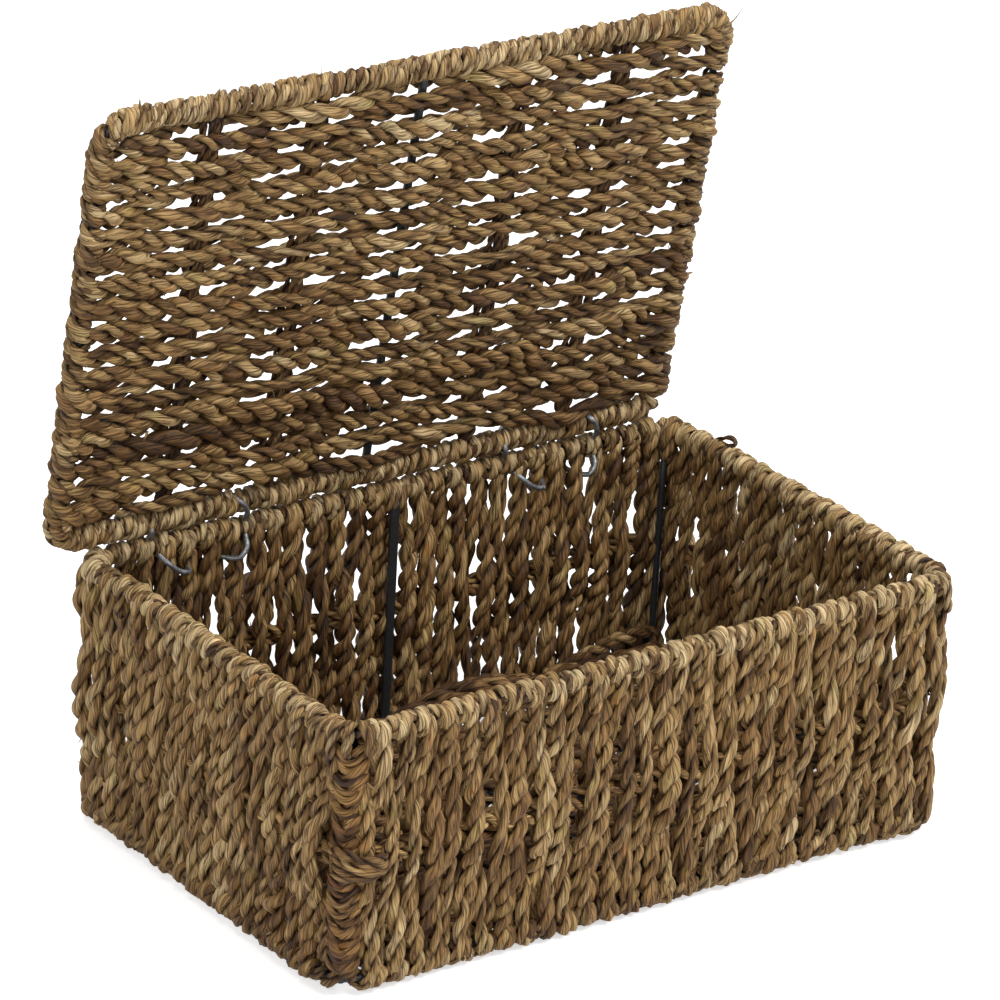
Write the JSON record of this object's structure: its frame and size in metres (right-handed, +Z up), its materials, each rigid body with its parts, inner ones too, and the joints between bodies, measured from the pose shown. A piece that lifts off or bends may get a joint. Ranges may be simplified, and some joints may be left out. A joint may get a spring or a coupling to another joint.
{
  "type": "woven lidded box",
  "caption": "Rectangular storage box woven from twisted seagrass rope on a steel wire frame, with a flat woven lid linked to the back rim by loose wire rings, standing open.",
  "frame": {"origin": "on the floor plane, under the middle of the whole part with its lid open as pictured", "axes": "+X along the long side to the right, +Y to the hinge side at the back, +Z up"},
  "size_m": [0.3426, 0.2144, 0.3346],
  "materials": {
    "seagrass_rope": "matte two-ply twisted seagrass rope, brown olive straw",
    "seagrass_binding": "matte twisted seagrass binding, lighter straw",
    "seagrass_wrap": "satin golden brown seagrass strands wound side by side",
    "frame_steel": "dark grey coated steel wire, satin",
    "ring_steel": "grey steel wire, satin"
  },
  "bodies": {
    "basket": {"wall_front": "seagrass_rope", "wall_right": "seagrass_rope", "wall_back": "seagrass_rope", "wall_left": "seagrass_rope", "floor_weave": "seagrass_rope", "base_roll_front": "seagrass_rope", "base_roll_right": "seagrass_rope", "base_roll_back": "seagrass_rope", "base_roll_left": "seagrass_rope", "corner_rope_front_right": "seagrass_rope", "corner_rope_back_right": "seagrass_rope", "corner_rope_back_left": "seagrass_rope", "rim_binding_front": "seagrass_binding", "rim_binding_right": "seagrass_binding", "rim_binding_back": "seagrass_binding", "rim_binding_left": "seagrass_binding", "corner_wrap_front_left": "seagrass_wrap", "rim_wire": "frame_steel", "base_wire": "frame_steel", "rail_front": "frame_steel", "rail_right": "frame_steel", "rail_back": "frame_steel", "rail_left": "frame_steel", "post_front_left": "frame_steel", "post_front_right": "frame_steel", "post_back_right": "frame_steel", "post_back_left": "frame_steel", "bar_front_middle": "frame_steel", "bar_back_middle": "frame_steel", "floor_strut_left": "frame_steel", "floor_strut_middle": "frame_steel", "floor_strut_right": "frame_steel"},
    "hinge_rings": {"hinge_ring_1": "ring_steel", "hinge_ring_2": "ring_steel", "hinge_ring_3": "ring_steel", "hinge_ring_4": "ring_steel"},
    "lid": {"lid_weave": "seagrass_rope", "lid_roll_left": "seagrass_rope", "lid_roll_right": "seagrass_rope", "lid_binding_front": "seagrass_binding", "lid_binding_hinge": "seagrass_binding", "lid_wire": "frame_steel", "lid_middle_rod": "frame_steel", "lid_stake_1": "frame_steel", "lid_stake_2": "frame_steel", "lid_stake_3": "frame_steel", "lid_stake_4": "frame_steel"}
  },
  "joints": [
    {"name": "ring_swing", "type": "hinge", "parent": "basket", "child": "hinge_rings", "pos_m": [0.00795, 0.09858, 0.1188], "axis": [-1, 0, 0], "range_deg": [0, 40]},
    {"name": "lid_hinge", "type": "hinge", "parent": "hinge_rings", "child": "lid", "pos_m": [-0.00565, 0.09858, 0.13111], "axis": [-1, 0, 0], "range_deg": [-80.9, 90]}
  ]
}
